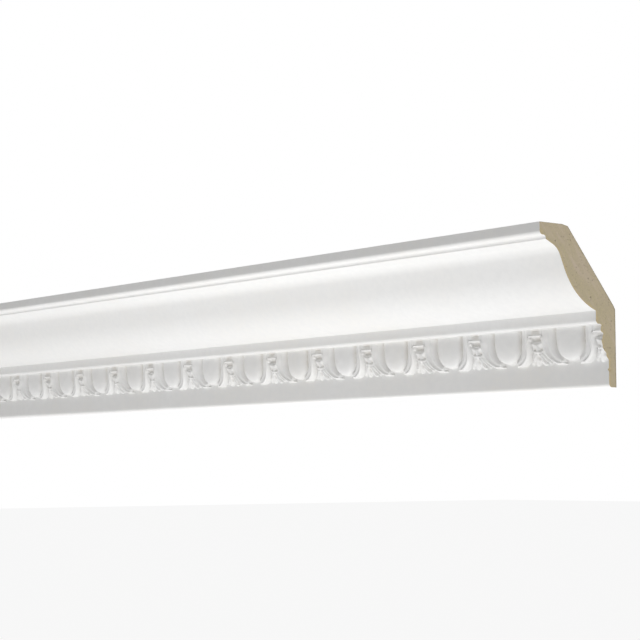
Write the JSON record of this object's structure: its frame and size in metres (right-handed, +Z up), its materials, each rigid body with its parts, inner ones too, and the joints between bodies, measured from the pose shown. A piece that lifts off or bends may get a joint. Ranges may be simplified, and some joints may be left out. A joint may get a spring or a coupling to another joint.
{
  "type": "cornice moulding length",
  "caption": "Straight length of crown moulding with an ogee, plain fillets and an egg-and-dart course, white-primed foam, cut square at both ends.",
  "frame": {"origin": "middle of the flat wall face, half way along the length", "axes": "+X along the moulding, +Y into the wall, +Z up to the ceiling"},
  "size_m": [0.952, 0.0805, 0.12],
  "materials": {
    "white_primer": "smooth white primer with a slight sheen, on rigid foam",
    "cut_foam": "bare sawn rigid foam, tan, dull, with fine pores"
  },
  "bodies": {
    "root": {"cornice_moulding": "white_primer"}
  },
  "joints": []
}
